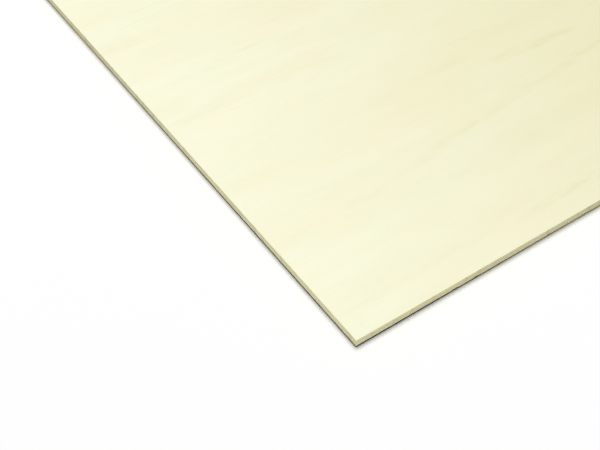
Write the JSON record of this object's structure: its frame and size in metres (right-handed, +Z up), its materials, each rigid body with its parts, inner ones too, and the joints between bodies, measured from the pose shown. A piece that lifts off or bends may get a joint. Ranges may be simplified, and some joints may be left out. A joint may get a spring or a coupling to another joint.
{
  "type": "plywood sheet",
  "caption": "Flat rectangular sheet of thin pale plywood with square sawn edges, used as raw stock for cutting, gluing and model making.",
  "frame": {"origin": "middle of the underside, on the surface that the sheet lies on", "axes": "+X along the sheet's length, which is the face grain's direction; +Y across the grain, along its width; +Z up through its thickness"},
  "size_m": [0.6, 0.3, 0.003],
  "materials": {
    "plywood": "matte"
  },
  "bodies": {
    "root": {"plywood_sheet": "plywood"}
  },
  "joints": []
}
